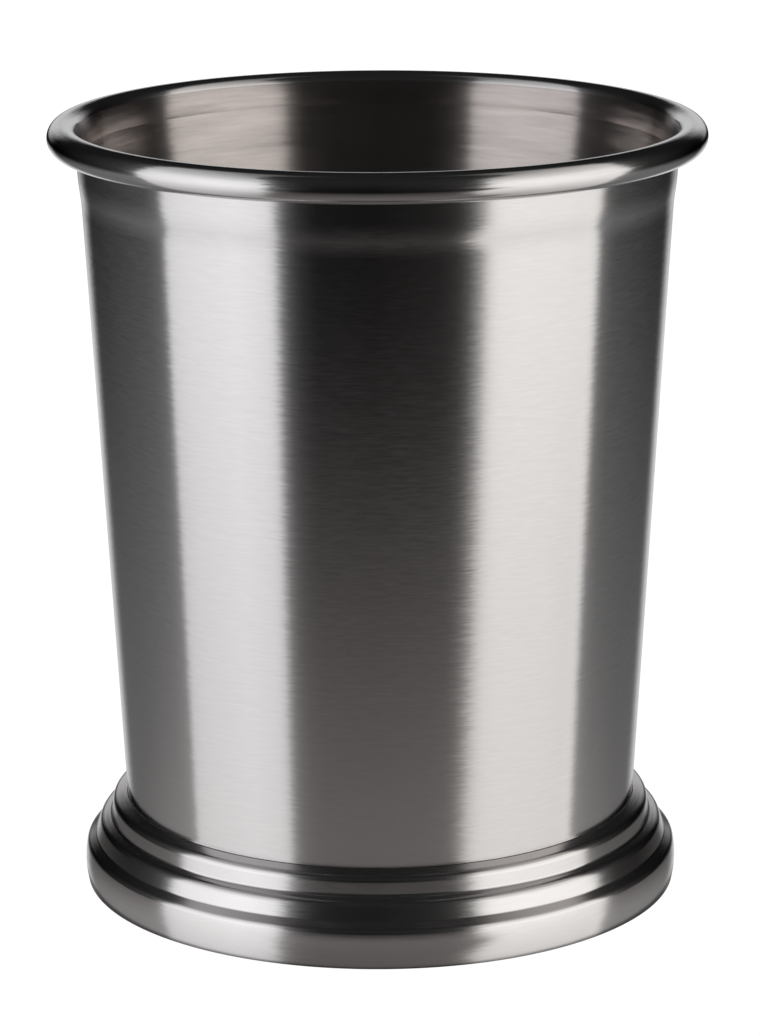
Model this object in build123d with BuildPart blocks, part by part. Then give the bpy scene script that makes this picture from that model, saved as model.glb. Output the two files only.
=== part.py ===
"""Stainless steel julep cup: a drawn tapered cup with a rolled rim, soldered into a moulded foot.

Millimetres and degrees. The origin is on the cup's axis, on the surface that the foot stands on, and
+Z is up. Every piece is turned about Z, so each profile is drawn as radius across and height up.
"""

import os
from math import acos, cos, degrees, radians, sin, tan

from build123d import *

# Overall sizes
overall_height = 107.5
rim_diameter = 90.0
wall_lean = 3.2

# Rolled rim: the wall flares, then curls outwards until its edge almost meets the wall
cup_sheet = 0.8
bead_diameter = 4.1
flare_radius = 9.4
flare_turn = 21.0
curl_gap = 0.2

# Collar under the rim, the joggle where the wall steps in below it, and the heel down at the floor
collar_height = 3.5
joggle_height = 2.6
joggle_depth = 0.25
heel_radius = 2.6

# Foot: its moulding goes down in steps, each with a tread, a rounded nose and a riser that leans
foot_sheet = 0.8
upper_tread_width = 1.88
upper_tread_drop = 0.6
upper_nose_radius = 1.25
upper_riser_width = 0.35
upper_riser_height = 2.55
middle_tread_width = 1.4
middle_tread_drop = 0.45
middle_nose_radius = 1.0
middle_riser_width = 0.8
middle_riser_height = 2.35
lower_tread_width = 1.45
lower_tread_drop = 0.95
plinth_height = 5.25
flange_lap = 4.0

# Solder between the foot and the cup
solder_gap = 0.1
solder_recess = 0.15
solder_margin = 0.6

# Rim, on the face of the sheet that is inside the cup and then outside the bead
lean = radians(wall_lean)
flared = radians(wall_lean + flare_turn)
bead_radius = bead_diameter / 2
bead_centre = Vector(rim_diameter / 2 - bead_radius, overall_height - bead_radius)
curl_start = bead_centre + Vector(-cos(flared), sin(flared)) * bead_radius
flare_centre = curl_start + Vector(cos(flared), -sin(flared)) * flare_radius
flare_start = flare_centre + Vector(-cos(lean), sin(lean)) * flare_radius

# The curl stops where its outside is one sheet and the gap away from the inside of the flare
edge_reach = flare_radius - cup_sheet - curl_gap
centre_reach = flare_radius - bead_radius
edge_cosine = (edge_reach**2 - centre_reach**2 - bead_radius**2) / (2 * centre_reach * bead_radius)
curl_turn = 360 - degrees(acos(edge_cosine))

# Wall and floor, on the same face: the floor lies on the foot's flange with the solder between them
collar_foot = flare_start - Vector(tan(lean), 1) * collar_height
neck = collar_foot - Vector(tan(lean), 1) * joggle_height - Vector(joggle_depth, 0)
floor_height = foot_sheet + solder_gap + cup_sheet
floor_centre = Vector(0, floor_height)
heel = Vector(neck.X - (neck.Y - floor_height) * tan(lean), floor_height)
floor_flat_radius = heel.X - heel_radius
flange_radius = floor_flat_radius - flange_lap


def beside(points, distance):
    """Corners of a line drawn at a distance to the right of the line through the points."""
    ways = [(end - start).normalized() for start, end in zip(points, points[1:])]
    sides = [Vector(way.Y, -way.X) for way in ways]
    before = [sides[0]] + sides
    after = sides + [sides[-1]]
    return [
        point + (first + second) * (distance / (1 + first.dot(second)))
        for point, first, second in zip(points, before, after)
    ]


def sheet_face(depth):
    """Draw one face of the cup's sheet, at a depth from the face inside the cup, and return its ends."""
    centre, corner, waist, *collar = beside([floor_centre, heel, neck, collar_foot, flare_start], depth)
    cup = FilletPolyline(centre, corner, waist, radius=heel_radius + depth)
    rise = Polyline(waist, *collar)
    flare = JernArc(rise @ 1, rise % 1, flare_radius - depth, -flare_turn)
    curl = JernArc(flare @ 1, flare % 1, bead_radius - depth, -curl_turn)
    return cup @ 0, curl @ 1


def wall_outside(height):
    """Radius of the wall's outer face at a height below the joggle."""
    return neck.X - (neck.Y - height) * tan(lean) + cup_sheet / cos(lean)


def lip_bore(height):
    """Radius of the foot's tapered bore, one solder gap outside the wall."""
    return wall_outside(height) + solder_gap / cos(lean)


# Foot: corners of the moulding, down from the lip
lower_crease_height = plinth_height + lower_tread_drop
upper_crease_height = lower_crease_height + middle_riser_height + middle_tread_drop
lip_height = upper_crease_height + upper_riser_height + upper_tread_drop
lip = Vector(lip_bore(lip_height), lip_height)
upper_nose = lip + Vector(upper_tread_width, -upper_tread_drop)
upper_crease = upper_nose + Vector(upper_riser_width, -upper_riser_height)
middle_nose = upper_crease + Vector(middle_tread_width, -middle_tread_drop)
lower_crease = middle_nose + Vector(middle_riser_width, -middle_riser_height)
plinth_top = lower_crease + Vector(lower_tread_width, -lower_tread_drop)
foot_radius = plinth_top.X

with BuildPart() as cup_body:
    with BuildSketch(Plane.XZ):
        with BuildLine():
            inside_start, inside_end = sheet_face(0)
            outside_start, outside_end = sheet_face(cup_sheet)
            Line(inside_start, outside_start)
            Line(inside_end, outside_end)
        make_face()
    revolve(axis=Axis.Z)

with BuildPart() as foot_ring:
    land_foot = lip_height - foot_sheet
    with BuildSketch(Plane.XZ):
        with BuildLine():
            FilletPolyline(lip, upper_nose, upper_crease, radius=upper_nose_radius)
            FilletPolyline(upper_crease, middle_nose, lower_crease, radius=middle_nose_radius)
            # Lowest tread, plinth, the flange turned in under the cup, the hollow and the land at the lip
            Polyline(
                lower_crease,
                plinth_top,
                (foot_radius, 0),
                (flange_radius, 0),
                (flange_radius, foot_sheet),
                (foot_radius - foot_sheet, foot_sheet),
                (foot_radius - foot_sheet, plinth_height - foot_sheet),
                (upper_crease.X - foot_sheet, upper_crease.Y),
                (lip_bore(land_foot), land_foot),
                lip,
            )
        make_face()
    revolve(axis=Axis.Z)

with BuildPart() as upper_solder_seam:
    seam_top = lip_height - solder_recess
    with BuildSketch(Plane.XZ):
        with BuildLine():
            Polyline(
                (wall_outside(land_foot), land_foot),
                (lip_bore(land_foot), land_foot),
                (lip_bore(seam_top), seam_top),
                (wall_outside(seam_top), seam_top),
                close=True,
            )
        make_face()
    revolve(axis=Axis.Z)

with BuildPart() as lower_solder_seam:
    with BuildSketch(Plane.XY.offset(foot_sheet)):
        Circle(floor_flat_radius)
        Circle(flange_radius + solder_margin, mode=Mode.SUBTRACT)
    extrude(amount=solder_gap)

cup_body.part.label = "cup_body"
foot_ring.part.label = "foot_ring"
upper_solder_seam.part.label = "upper_solder_seam"
lower_solder_seam.part.label = "lower_solder_seam"

os.makedirs("parts", exist_ok=True)
export_step(cup_body.part, "parts/cup_body.step")
export_step(foot_ring.part, "parts/foot_ring.step")
export_step(upper_solder_seam.part, "parts/upper_solder_seam.step")
export_step(lower_solder_seam.part, "parts/lower_solder_seam.step")
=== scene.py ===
"""Looks of the julep cup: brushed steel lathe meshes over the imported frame, lit as in the photograph.

Metres and the row frame: the origin is under the middle of the foot, +Z is up, and the camera looks
along +Y. Angles are given in degrees and turned into radians where they are named. The cup and the foot
are profiles of samples (radius, height, heading), which the lathe turns about Z.
"""

from math import acos, atan2, cos, hypot, pi, radians, sin, tan

import bpy
from mathutils import Euler, Matrix, Vector


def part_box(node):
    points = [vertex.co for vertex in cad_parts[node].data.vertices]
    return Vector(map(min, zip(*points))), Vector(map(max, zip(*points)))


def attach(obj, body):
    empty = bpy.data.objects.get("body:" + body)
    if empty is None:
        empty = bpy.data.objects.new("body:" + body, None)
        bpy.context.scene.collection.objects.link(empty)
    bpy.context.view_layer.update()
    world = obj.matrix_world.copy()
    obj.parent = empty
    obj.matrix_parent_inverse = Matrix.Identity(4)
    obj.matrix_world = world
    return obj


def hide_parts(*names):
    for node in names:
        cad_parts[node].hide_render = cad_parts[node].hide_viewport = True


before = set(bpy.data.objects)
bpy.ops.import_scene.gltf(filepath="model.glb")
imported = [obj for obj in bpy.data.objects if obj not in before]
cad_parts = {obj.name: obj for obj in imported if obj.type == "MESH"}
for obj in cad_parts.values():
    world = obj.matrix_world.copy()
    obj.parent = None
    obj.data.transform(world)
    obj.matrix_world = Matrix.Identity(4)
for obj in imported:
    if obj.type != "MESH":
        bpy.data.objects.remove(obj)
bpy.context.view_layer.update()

cup_low, cup_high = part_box("cup_body")
foot_low, foot_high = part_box("foot_ring")
rim_radius = min(-cup_low.x, -cup_low.y, cup_high.x, cup_high.y)
foot_radius = min(-foot_low.x, -foot_low.y, foot_high.x, foot_high.y)

# Cup: one sheet that runs from the floor up the wall and round the rolled rim
sheet = 0.0008
floor_height = cup_low.z + sheet
wall_lean = radians(3.2)
heel_radius = 0.0026
joggle_depth = 0.00025
joggle_height = 0.0026
joggle_rounding = 0.9
collar_height = 0.0035
flare_radius = 0.0094
flare_turn = radians(21)
bead_radius = 0.00205
curl_gap = 0.0002

# Foot: its moulding goes down in steps, each with a tread, a rounded nose and a riser that leans
upper_tread_width = 0.00188
upper_tread_drop = 0.0006
upper_nose_radius = 0.00125
upper_riser_width = 0.00035
upper_riser_height = 0.00255
upper_crease_radius = 0.0005
middle_tread_width = 0.0014
middle_tread_drop = 0.00045
middle_nose_radius = 0.0014
middle_riser_width = 0.0008
middle_riser_height = 0.00235
lower_crease_radius = 0.0005
lower_tread_width = 0.00145
lower_tread_drop = 0.00095
lower_nose_radius = 0.0012
plinth_bulge = 0.00024
flange_lap = 0.004
tread_steepness = radians(50)

# Meshes
turns = 256
bend_step = radians(6)
fewest_bend_steps = 2
ring_digits = 9

# Brushed steel: streaks run round the axis, so they are long one way and fine across
streak_rate_round = 400.0
streak_rate_across = 4500.0
streak_detail = 4
streak_noise_roughness = 0.6
streak_shade = 0.12
noise_middle = (0.5, 0.5, 0.5)
across_the_streaks = 0.25

# Finishes: the inside is browner and more coarsely brushed, and darker than the wall as painted shade;
# the foot's treads are a darker copy of its steel as painted shade, so it is brightest on its risers
wall_colour = (0.76, 0.76, 0.76)
wall_brush = {"roughness": 0.16, "anisotropy": 0.75, "grooves": 0.1, "sway": 0.03}
# Inside and flare: browner steel, made darker than the wall as painted shade inside the cup
inside_colour_with_painted_shade = (0.61, 0.57, 0.55)
inside_lay = -0.28
flare_colour_with_painted_shade = (0.59, 0.55, 0.53)
flare_lay = -0.06
inside_brush = {
    "roughness": 0.23,
    "anisotropy": 1.0,
    "grooves": 0.4,
    "sway": 0.02,
    "shading": 0.5,
    "coarseness": 4.0,
}
bead_colour = (0.75, 0.75, 0.75)
bead_brush = {"roughness": 0.13, "anisotropy": 0.3, "grooves": 0.05, "sway": 0.06}
foot_colour = (0.82, 0.82, 0.82)
# Treads: a darker copy of the foot's steel, painted shade on the faces that look up
tread_colour_painted_shade = (0.63, 0.61, 0.61)
foot_brush = {"roughness": 0.18, "anisotropy": 0.6, "grooves": 0.05, "sway": 0.045}

# Solder: its roughness is mottled
solder_colour = (0.58, 0.57, 0.55, 1)
solder_smooth = 0.35
solder_rough = 0.55
mottle_rate = 900.0
mottle_detail = 3
mottle_low = 0.3
mottle_high = 0.7

# Camera, fitted to the rim and the foot in the photograph
camera_place = Vector((0, -0.56133, 0.19879))
camera_down = radians(14.735)
camera_right = radians(0.0144)
camera_roll = radians(-0.23)
camera_lens = 144.55
camera_sensor = 36.0
camera_nearest = 0.01

# Tent of cards that only reflections see: level by azimuth from the camera's side, and by elevation
tent_radius = 2.5
tent_height = 0.06
tent_segments = 64
tent_rings = 32
tent_round = (
    (-180, 0.01),
    (-128, 0.012),
    (-113, 0.015),
    (-100, 0.03),
    (-91, 0.07),
    (-88.5, 0.84),
    (-80, 0.92),
    (-57, 1.03),
    (-44, 0.96),
    (-40.5, 0.86),
    (-37.5, 0.16),
    (-34, 0.06),
    (-30, 0.025),
    (-24, 0.008),
    (0, 0.005),
    (24, 0.012),
    (36, 0.025),
    (41, 0.17),
    (44.5, 0.8),
    (48, 0.99),
    (57, 1.02),
    (72, 1.0),
    (89, 0.95),
    (93, 0.82),
    (96, 0.07),
    (105, 0.02),
    (121, 0.01),
    (180, 0.01),
)
tent_rise = (
    (-90, 0.02),
    (-67, 0.34),
    (-55, 0.57),
    (-45, 0.70),
    (-36, 0.85),
    (-23, 0.96),
    (0, 1.10),
    (16, 1.06),
    (25, 0.96),
    (35, 0.76),
    (45, 0.60),
    (55, 0.46),
    (65, 0.27),
    (75, 0.06),
    (90, 0.02),
)
left_tint = (1.02, 1.0, 1.01, 1)
right_tint = (1.04, 1.0, 0.97, 1)
window_end = radians(140)
window_full = radians(110)

# The windows spread towards the zenith and the nadir. The inner edge of the right one reaches further to
# the front below and above what the wall reflects, and near the horizon the dark front is narrower
tent_spread = 0.7
spread_power = 4
edge_out = radians(75)
edge_in = radians(50)
lower_bow_from = radians(-13)
lower_bow_full = radians(-33)
lower_bow = radians(9)
upper_bow_from = radians(-15.5)
upper_bow_full = radians(-8.5)
upper_bow = radians(4.5)
narrowing_from = radians(15)
narrowing_full = radians(5)
narrowing = radians(2)

# Grey parts of the tent: low down beyond the windows, low down and in a haze behind, and faintly overhead
side_from = radians(86)
side_full = radians(93)
side_top = radians(-6)
side_bottom = radians(-25)
side_level = 0.165
back_from = radians(148)
back_full = radians(166)
back_low = radians(-12)
back_gap = radians(-6)
back_level = 0.65
haze_from = radians(-4)
haze_full = radians(3)
haze_high = radians(10)
haze_end = radians(22)
haze_level = 0.6
roof_from = radians(-14)
roof_full = radians(60)
roof_level = 0.015

# Table top close to the cup, in the same reflections: it adds some light and hides some of the tent
table_height = -0.001
table_segments = 64
table_edge = 0.07
table_reach = 0.325
table_falloff = 1.6
table_level = 0.14
table_front = radians(60)
table_side = radians(110)
table_side_share = 0.3
# The cup's shadow is painted on the table: dimmer towards the foot, and a dark line right round it
table_shadow = 0.75
contact_from = 0.0009
contact_end = 0.0014
contact_shadow = 0.25
table_dimming = 0.25
table_tint = (1.09, 1.0, 0.97, 1)

# Floor and world
floor_size = 8.0
floor_colour = (0.9, 0.9, 0.9, 1)
floor_glow = 0.85
floor_strength = 1.1
white = (1, 1, 1, 1)
sky_seen = 1.0
sky_light = 1.0


def route(corners, radii):
    """Samples along a line, with a bend of the given radius at each corner.

    A corner with no radius gives two samples in one place, which the lathe keeps as a crease.
    """
    headings = [atan2(b[1] - a[1], b[0] - a[0]) for a, b in zip(corners, corners[1:])]
    samples = [(*corners[0], headings[0])]
    for corner, radius, before, after in zip(corners[1:], radii, headings, headings[1:]):
        turn = (after - before + pi) % (2 * pi) - pi
        setback = radius * tan(abs(turn) / 2)
        samples.append((corner[0] - setback * cos(before), corner[1] - setback * sin(before), before))
        if radius:
            bend(samples, radius, turn)
        else:
            samples.append((*corner, after))
    samples.append((*corners[-1], headings[-1]))
    return samples


def bend(samples, radius, turn):
    """Goes on from the last sample along an arc, to the left where the turn is positive."""
    across, height, heading = samples[-1]
    swing = radius if turn > 0 else -radius
    steps = max(fewest_bend_steps, round(abs(turn) / bend_step))
    for step in range(1, steps + 1):
        ahead = heading + turn * step / steps
        east = across + swing * (sin(ahead) - sin(heading))
        north = height + swing * (cos(heading) - cos(ahead))
        samples.append((east, north, ahead))


def bulged(start, end, bulge):
    """Samples along an arc between two points that stands out to the left of its chord by the bulge."""
    half_chord = hypot(end[0] - start[0], end[1] - start[1]) / 2
    radius = (half_chord**2 + bulge**2) / (2 * abs(bulge))
    half_turn = 2 * atan2(bulge, half_chord)
    samples = [(*start, atan2(end[1] - start[1], end[0] - start[0]) + half_turn)]
    bend(samples, radius, -2 * half_turn)
    return samples


def other_face(samples):
    """Samples back along the other face of the sheet."""
    return [
        (across + sheet * sin(heading), height - sheet * cos(heading), heading + pi)
        for across, height, heading in reversed(samples)
    ]


def lathe(name, strips):
    """A mesh turned about Z from strips, each with its samples and its finish.

    A strip faces to the left of the way that its samples run.
    """
    around = [(cos(2 * pi * i / turns), sin(2 * pi * i / turns)) for i in range(turns)]
    vertices = []
    faces = []
    normals = []
    finishes = []
    rings = {}

    def ring(across, height):
        place = (round(across, ring_digits), round(height, ring_digits))
        if place not in rings:
            spokes = around if place[0] > 0 else around[:1]
            rings[place] = range(len(vertices), len(vertices) + len(spokes))
            vertices.extend((across * x, across * y, height) for x, y in spokes)
        return rings[place]

    def normal(heading, i):
        x, y = around[i]
        return (-sin(heading) * x, -sin(heading) * y, cos(heading))

    def band(first, second):
        start = ring(*first[:2])
        end = ring(*second[:2])
        if start == end:
            return
        for i in range(turns):
            j = (i + 1) % turns
            places = ((start, first, i), (end, second, i), (end, second, j), (start, first, j))
            corners = {side[k % len(side)]: normal(sample[2], k) for side, sample, k in places}
            faces.append(tuple(corners))
            normals.extend(corners.values())

    mesh = bpy.data.meshes.new(name)
    for samples, finish in strips:
        if finish.name not in mesh.materials:
            mesh.materials.append(finish)
        for first, second in zip(samples, samples[1:]):
            band(first, second)
        finishes += [mesh.materials.find(finish.name)] * (len(faces) - len(finishes))
    mesh.from_pydata(vertices, [], faces)
    mesh.polygons.foreach_set("material_index", finishes)
    mesh.shade_smooth()
    mesh.normals_split_custom_set(normals)
    return placed(name, mesh)


def placed(name, data):
    """A new object with this data, in the scene."""
    thing = bpy.data.objects.new(name, data)
    bpy.context.scene.collection.objects.link(thing)
    return thing


def emptied(owner):
    """Node tree of a material or world, with nothing in it."""
    owner.use_nodes = True
    owner.node_tree.nodes.clear()
    return owner.node_tree


def new_material(name):
    """A new material and its empty node tree."""
    material = bpy.data.materials.new(name)
    return material, emptied(material)


def add(tree, kind, inputs=None, **settings):
    """A new shader node; an input may be a value or the output that feeds it."""
    node = tree.nodes.new("ShaderNode" + kind)
    for name, value in settings.items():
        setattr(node, name, value)
    for name, value in (inputs or {}).items():
        if isinstance(value, bpy.types.NodeSocket):
            tree.links.new(value, node.inputs[name])
        else:
            node.inputs[name].default_value = value
    return node


def shade(tree, shader, kind="OutputMaterial"):
    """Gives a material or world its shader."""
    add(tree, kind, {"Surface": shader.outputs[0]})


def calculate(tree, operation, *values):
    """Output of a math node."""
    return add(tree, "Math", dict(enumerate(values)), operation=operation).outputs[0]


def fade(tree, value, start, end, low=0.0, high=1.0):
    """Output that goes smoothly from low to high while the value goes from start to end."""
    inputs = {"Value": value, "From Min": start, "From Max": end, "To Min": low, "To Max": high}
    return add(tree, "MapRange", inputs, interpolation_type="SMOOTHSTEP").outputs[0]


def vector(tree, operation, *values):
    """Vector output of a vector math node."""
    return add(tree, "VectorMath", dict(enumerate(values)), operation=operation).outputs[0]


def scaled(tree, value, factor):
    """Vector output of a vector and a factor."""
    return add(tree, "VectorMath", {0: value, "Scale": factor}, operation="SCALE").outputs[0]


def axis_distance(tree, position):
    """Output with the distance from the Z axis."""
    level = vector(tree, "MULTIPLY", position, (1, 1, 0))
    return add(tree, "VectorMath", {0: level}, operation="LENGTH").outputs["Value"]


def azimuth_of(tree, position):
    """Output with the angle round the axis from the camera's side, to the right where it is positive."""
    parts = add(tree, "SeparateXYZ", {0: position})
    towards = calculate(tree, "MULTIPLY", parts.outputs["Y"], -1)
    return calculate(tree, "ARCTAN2", parts.outputs["X"], towards)


def ramp(tree, angle, limit, stops, low_tint, high_tint):
    """Colour for an angle between the limits, from stops in degrees, tinted below and above zero."""
    position = add(tree, "MapRange", {"Value": angle, "From Min": -limit, "From Max": limit}).outputs[0]
    node = add(tree, "ValToRGB", {"Fac": position})
    elements = node.color_ramp.elements
    while len(elements) < len(stops):
        elements.new(1)
    for element, (degrees, level) in zip(elements, stops):
        element.position = (radians(degrees) / limit + 1) / 2
        element.color = [level * part for part in (low_tint if degrees < 0 else high_tint)]
    return node.outputs["Color"]


def steel(
    name, colour, roughness, anisotropy, grooves, sway, lay=0.0, shading=streak_shade, coarseness=1.0
):
    """Steel brushed round the axis.

    Its streaks tip the surface across their run by the grooves, about the lay, and along it by the sway.
    The shading makes some darker than others, and the coarseness makes them larger.
    """
    material, tree = new_material(name)
    position = add(tree, "TexCoord").outputs["Object"]
    rate_round = streak_rate_round / coarseness
    rate_across = streak_rate_across / coarseness
    inputs = {
        "Vector": vector(tree, "MULTIPLY", position, (rate_round, rate_round, rate_across)),
        "W": calculate(tree, "MULTIPLY", axis_distance(tree, position), rate_across),
        "Scale": 1,
        "Detail": streak_detail,
        "Roughness": streak_noise_roughness,
    }
    noise = add(tree, "TexNoise", inputs, noise_dimensions="4D").outputs["Color"]
    streaks = add(tree, "SeparateXYZ", {0: vector(tree, "SUBTRACT", noise, noise_middle)})
    darker = calculate(tree, "MULTIPLY_ADD", streaks.outputs["Z"], shading, 1)
    normal = add(tree, "NewGeometry").outputs["Normal"]
    tangent = add(tree, "Tangent", direction_type="RADIAL", axis="Z").outputs[0]
    across = vector(tree, "CROSS_PRODUCT", normal, tangent)
    tipped = scaled(tree, across, calculate(tree, "MULTIPLY_ADD", streaks.outputs["X"], grooves, lay))
    swayed = scaled(tree, tangent, calculate(tree, "MULTIPLY", streaks.outputs["Y"], sway))
    brushed = vector(tree, "ADD", vector(tree, "ADD", normal, tipped), swayed)
    inputs = {
        "Base Color": scaled(tree, colour, darker),
        "Metallic": 1,
        "Roughness": roughness,
        "Anisotropic": anisotropy,
        "Anisotropic Rotation": across_the_streaks,
        "Tangent": tangent,
        "Normal": vector(tree, "NORMALIZE", brushed),
    }
    shade(tree, add(tree, "BsdfPrincipled", inputs))
    return material


def solder(name):
    """Dull solder with a little mottling."""
    material, tree = new_material(name)
    position = add(tree, "TexCoord").outputs["Object"]
    inputs = {"Vector": position, "Scale": mottle_rate, "Detail": mottle_detail}
    mottle = add(tree, "TexNoise", inputs).outputs["Fac"]
    rough = fade(tree, mottle, mottle_low, mottle_high, solder_smooth, solder_rough)
    inputs = {"Base Color": solder_colour, "Metallic": 1, "Roughness": rough}
    shade(tree, add(tree, "BsdfPrincipled", inputs))
    return material


def cup_samples():
    """Samples along the face of the sheet that is inside the cup and then outside the bead.

    They come in three runs, the inside up to the collar, the flare and the bead, with the radius of the
    flat part of the floor.
    """
    flared = wall_lean + flare_turn
    bead_centre = Vector((rim_radius - bead_radius, cup_high.z - bead_radius))
    curl_start = bead_centre + bead_radius * Vector((-cos(flared), sin(flared)))
    flare_centre = curl_start + flare_radius * Vector((cos(flared), -sin(flared)))
    flare_start = flare_centre + flare_radius * Vector((-cos(wall_lean), sin(wall_lean)))
    edge_reach = flare_radius - sheet - curl_gap
    centre_reach = flare_radius - bead_radius
    edge_cosine = (edge_reach**2 - centre_reach**2 - bead_radius**2) / (2 * centre_reach * bead_radius)
    up_the_wall = Vector((tan(wall_lean), 1))
    collar_foot = flare_start - collar_height * up_the_wall
    neck = collar_foot - joggle_height * up_the_wall - Vector((joggle_depth, 0))
    joggle = collar_foot - neck
    joggle_turn = atan2(joggle.x, joggle.y) - wall_lean
    joggle_bend = joggle_rounding * joggle.length / 2 / tan(joggle_turn / 2)
    heel = neck - (neck.y - floor_height) * up_the_wall
    corners = [(0, floor_height), heel, neck, collar_foot, flare_start]
    inside = route(corners, [heel_radius, joggle_bend, joggle_bend])
    flare = inside[-1:]
    bend(flare, flare_radius, -flare_turn)
    bead = flare[-1:]
    bend(bead, bead_radius, acos(edge_cosine) - 2 * pi)
    return inside, flare, bead, heel.x - heel_radius


def foot_samples(flange_radius):
    """Samples round the foot's section: down the steps from the lip, and then round the rest of it."""
    treads = upper_tread_width + middle_tread_width + lower_tread_width
    lip = Vector((foot_radius - treads - upper_riser_width - middle_riser_width, foot_high.z))
    upper_nose = lip + Vector((upper_tread_width, -upper_tread_drop))
    upper_crease = upper_nose + Vector((upper_riser_width, -upper_riser_height))
    middle_nose = upper_crease + Vector((middle_tread_width, -middle_tread_drop))
    lower_crease = middle_nose + Vector((middle_riser_width, -middle_riser_height))
    plinth_top = lower_crease + Vector((lower_tread_width - plinth_bulge, -lower_tread_drop))
    plinth_base = (plinth_top.x, foot_low.z)
    plinth_turn = 2 * atan2(plinth_bulge, plinth_top.y / 2)
    down_the_bulge = Vector((sin(plinth_turn), -cos(plinth_turn)))
    easing = plinth_top + 2 * lower_nose_radius * down_the_bulge
    corners = [lip, upper_nose, upper_crease, middle_nose, lower_crease, plinth_top, easing]
    radii = [
        upper_nose_radius,
        upper_crease_radius,
        middle_nose_radius,
        lower_crease_radius,
        lower_nose_radius,
    ]
    steps = route(corners, radii)[:-1]
    plinth = bulged(steps[-1][:2], plinth_base, plinth_bulge)
    inside = [
        plinth_base,
        (flange_radius, foot_low.z),
        (flange_radius, foot_low.z + sheet),
        (foot_radius - sheet, foot_low.z + sheet),
        (foot_radius - sheet, plinth_top.y - sheet),
        (upper_crease.x - sheet, upper_crease.y),
        (lip.x - sheet * tan(wall_lean), lip.y - sheet),
        lip,
    ]
    return steps, plinth + route(inside, [0] * (len(inside) - 2))


def by_slope(samples, shaded_flat_finish, steep_finish):
    """Strips of the samples, with one finish for the treads and another for the risers; the treads take
    the darker copy, painted shade.
    """
    strips = []
    for first, second in zip(samples, samples[1:]):
        flat = abs(first[2] + second[2]) / 2 < tread_steepness
        strips.append(([first, second], shaded_flat_finish if flat else steep_finish))
    return strips


def only_in_reflections(thing):
    """Hides a stage object from everything but reflections."""
    thing.visible_camera = False
    thing.visible_diffuse = False
    thing.visible_transmission = False
    thing.visible_volume_scatter = False
    thing.visible_shadow = False


def white_floor():
    """Floor that is white to the camera, with the cup's soft shadow."""
    bpy.ops.mesh.primitive_plane_add(size=floor_size)
    floor = bpy.context.object
    floor.name = "floor"
    floor.visible_glossy = False
    material, tree = new_material("floor")
    matt = add(tree, "BsdfDiffuse", {"Color": floor_colour})
    lit = add(tree, "Emission", {"Color": white, "Strength": floor_strength})
    shade(tree, add(tree, "MixShader", {0: floor_glow, 1: matt.outputs[0], 2: lit.outputs[0]}))
    floor.data.materials.append(material)
    return floor


def window_azimuth(tree, azimuth, elevation, height):
    """Azimuth at which the tent's stops are read, for an azimuth, elevation and sine of the elevation."""
    steepness = calculate(tree, "POWER", calculate(tree, "ABSOLUTE", height), spread_power)
    spread = calculate(tree, "MULTIPLY_ADD", steepness, -tent_spread, 1)
    side = calculate(tree, "SIGN", azimuth)
    low_bow = fade(tree, elevation, lower_bow_from, lower_bow_full, 0, lower_bow)
    high_bow = fade(tree, elevation, upper_bow_from, upper_bow_full, 0, upper_bow)
    bow = calculate(tree, "ADD", low_bow, high_bow)
    bowed = calculate(tree, "MULTIPLY", bow, calculate(tree, "MAXIMUM", side, 0))
    off_level = calculate(tree, "ABSOLUTE", elevation)
    narrowed = fade(tree, off_level, narrowing_from, narrowing_full, 0, narrowing)
    moved = calculate(tree, "MULTIPLY_ADD", narrowed, side, bowed)
    at_edge = fade(tree, calculate(tree, "ABSOLUTE", azimuth), edge_out, edge_in)
    shift = calculate(tree, "MULTIPLY", moved, at_edge)
    return calculate(tree, "MULTIPLY_ADD", azimuth, spread, shift)


def reflected_tent():
    """Tent round the cup: dark in front, a bright window at each side and grey beyond and behind them."""
    bpy.ops.mesh.primitive_uv_sphere_add(
        segments=tent_segments, ring_count=tent_rings, radius=tent_radius, location=(0, 0, tent_height)
    )
    tent = bpy.context.object
    tent.name = "tent"
    only_in_reflections(tent)
    material, tree = new_material("tent")
    position = add(tree, "TexCoord").outputs["Object"]
    height = add(tree, "SeparateXYZ", {0: vector(tree, "NORMALIZE", position)}).outputs["Z"]
    elevation = calculate(tree, "ARCSINE", height)
    azimuth = azimuth_of(tree, position)
    bearing = calculate(tree, "ABSOLUTE", azimuth)
    squeezed = window_azimuth(tree, azimuth, elevation, height)
    by_azimuth = ramp(tree, squeezed, pi, tent_round, left_tint, right_tint)
    by_elevation = ramp(tree, elevation, pi / 2, tent_rise, white, white)
    in_front = fade(tree, bearing, window_end, window_full)
    windows = scaled(tree, vector(tree, "MULTIPLY", by_azimuth, by_elevation), in_front)
    beyond = fade(tree, calculate(tree, "ABSOLUTE", squeezed), side_from, side_full)
    low_side = fade(tree, elevation, side_top, side_bottom, 0, side_level)
    sides = calculate(tree, "MULTIPLY", beyond, low_side)
    low_back = fade(tree, elevation, back_gap, back_low, 0, back_level)
    haze_below = fade(tree, elevation, haze_from, haze_full, 0, haze_level)
    haze = fade(tree, elevation, haze_end, haze_high, 0, haze_below)
    behind = fade(tree, bearing, back_from, back_full)
    back = calculate(tree, "MULTIPLY", behind, calculate(tree, "ADD", low_back, haze))
    roof = fade(tree, elevation, roof_from, roof_full, 0, roof_level)
    grey = calculate(tree, "ADD", calculate(tree, "ADD", sides, back), roof)
    shade(tree, add(tree, "Emission", {"Color": vector(tree, "ADD", windows, grey)}))
    tent.data.materials.append(material)
    return tent


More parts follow.
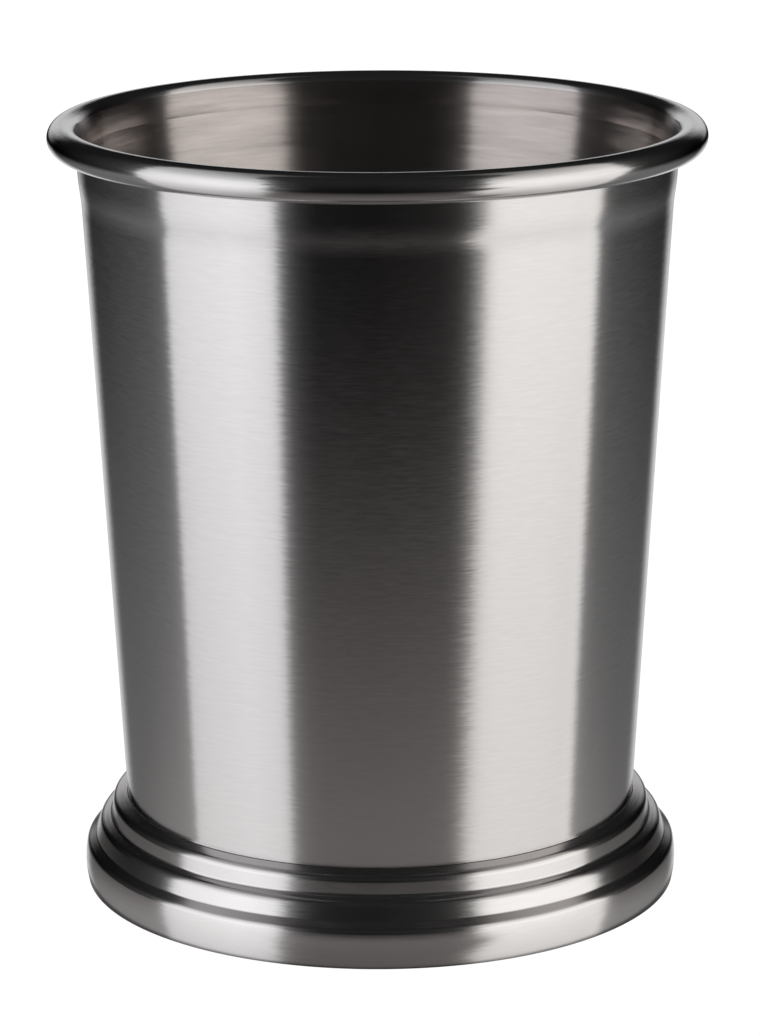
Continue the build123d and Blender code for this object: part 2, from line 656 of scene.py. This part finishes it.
def reflected_table():
    """What reflections see of the table top near the cup, with the cup's shadow painted on it as a dark
    line round the foot.
    """
    bpy.ops.mesh.primitive_circle_add(
        vertices=table_segments, radius=table_reach, fill_type="NGON", location=(0, 0, table_height)
    )
    table = bpy.context.object
    table.name = "table"
    only_in_reflections(table)
    material, tree = new_material("table")
    position = add(tree, "TexCoord").outputs["Object"]
    distance = axis_distance(tree, position)
    inputs = {"Value": distance, "From Min": table_reach, "From Max": table_edge}
    near = add(tree, "MapRange", inputs).outputs[0]
    bearing = calculate(tree, "ABSOLUTE", azimuth_of(tree, position))
    level = fade(tree, bearing, table_front, table_side, table_level, table_level * table_side_share)
    shadow = fade(tree, distance, foot_radius, table_edge, table_shadow, 1)
    line_inside = foot_radius + contact_from
    line_outside = foot_radius + contact_end
    contact = fade(tree, distance, line_inside, line_outside, contact_shadow, 1)
    shaded = calculate(tree, "MULTIPLY", calculate(tree, "MULTIPLY", level, shadow), contact)
    glow = calculate(tree, "MULTIPLY", calculate(tree, "POWER", near, table_falloff), shaded)
    lit = add(tree, "Emission", {"Color": table_tint, "Strength": glow})
    dimmed = calculate(tree, "MULTIPLY_ADD", near, -table_dimming, 1)
    clear = add(tree, "BsdfTransparent", {"Color": calculate(tree, "MULTIPLY", dimmed, contact)})
    shade(tree, add(tree, "AddShader", {0: lit.outputs[0], 1: clear.outputs[0]}))
    table.data.materials.append(material)
    return table


def white_world():
    """World that is white to the camera and in reflections, and plain light for the rest."""
    world = bpy.data.worlds.new("world")
    tree = emptied(world)
    path = add(tree, "LightPath")
    seen = calculate(tree, "MAXIMUM", path.outputs["Is Camera Ray"], path.outputs["Is Glossy Ray"])
    seen = calculate(tree, "MAXIMUM", seen, path.outputs["Is Transmission Ray"])
    level = add(tree, "Mix", {"Factor": seen, 2: sky_light, 3: sky_seen}, data_type="FLOAT").outputs[0]
    shade(tree, add(tree, "Background", {"Color": white, "Strength": level}), "OutputWorld")
    return world


def fitted_camera():
    """Camera at the photograph's place."""
    data = bpy.data.cameras.new("camera")
    data.lens = camera_lens
    data.sensor_width = camera_sensor
    data.sensor_fit = "AUTO"
    data.clip_start = camera_nearest
    camera = placed("camera", data)
    tilt = Euler((pi / 2 - camera_down, 0, -camera_right)).to_matrix()
    aim = tilt @ Matrix.Rotation(camera_roll, 3, "Z")
    camera.matrix_world = Matrix.Translation(camera_place) @ aim.to_4x4()
    return camera


# Cup
wall_steel = steel("wall_steel", wall_colour, **wall_brush)
inside_steel_with_painted_shade = steel("inside_steel_with_painted_shade", inside_colour_with_painted_shade, lay=inside_lay, **inside_brush)
flare_steel_with_painted_shade = steel("flare_steel_with_painted_shade", flare_colour_with_painted_shade, lay=flare_lay, **inside_brush)
bead_steel = steel("bead_steel", bead_colour, **bead_brush)
inside, flare, bead, floor_flat_radius = cup_samples()
curl = other_face(bead)
edge_heading = bead[-1][2] - pi / 2
edge = [(*bead[-1][:2], edge_heading), (*curl[0][:2], edge_heading)]
strips = [
    (inside, inside_steel_with_painted_shade),
    (flare, flare_steel_with_painted_shade),
    (bead, bead_steel),
    (edge, bead_steel),
    (curl, bead_steel),
    (other_face(inside + flare[1:]), wall_steel),
]
cup = lathe("cup", strips)

# Foot
foot_steel = steel("foot_steel", foot_colour, **foot_brush)
# The treads take a darker copy of the foot's steel as painted shade
tread_steel_painted_shade = steel("tread_steel_painted_shade", tread_colour_painted_shade, **foot_brush)
steps, plinth = foot_samples(floor_flat_radius - flange_lap)
foot = lathe("foot", by_slope(steps, tread_steel_painted_shade, foot_steel) + [(plinth, foot_steel)])

for piece, node, slot in ((cup, "cup_body", "cup_steel"), (foot, "foot_ring", "foot_steel")):
    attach(piece, "root")
    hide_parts(node)

# Solder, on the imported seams
dull_solder = solder("solder")
for node in ("upper_solder_seam", "lower_solder_seam"):
    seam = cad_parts[node]
    seam.data.materials.clear()
    seam.data.materials.append(dull_solder)

# Stage, world and camera
floor = white_floor()
tent = reflected_tent()
table = reflected_table()
bpy.context.scene.world = white_world()
bpy.context.scene.camera = fitted_camera()
bpy.context.scene.view_settings.view_transform = "Standard"
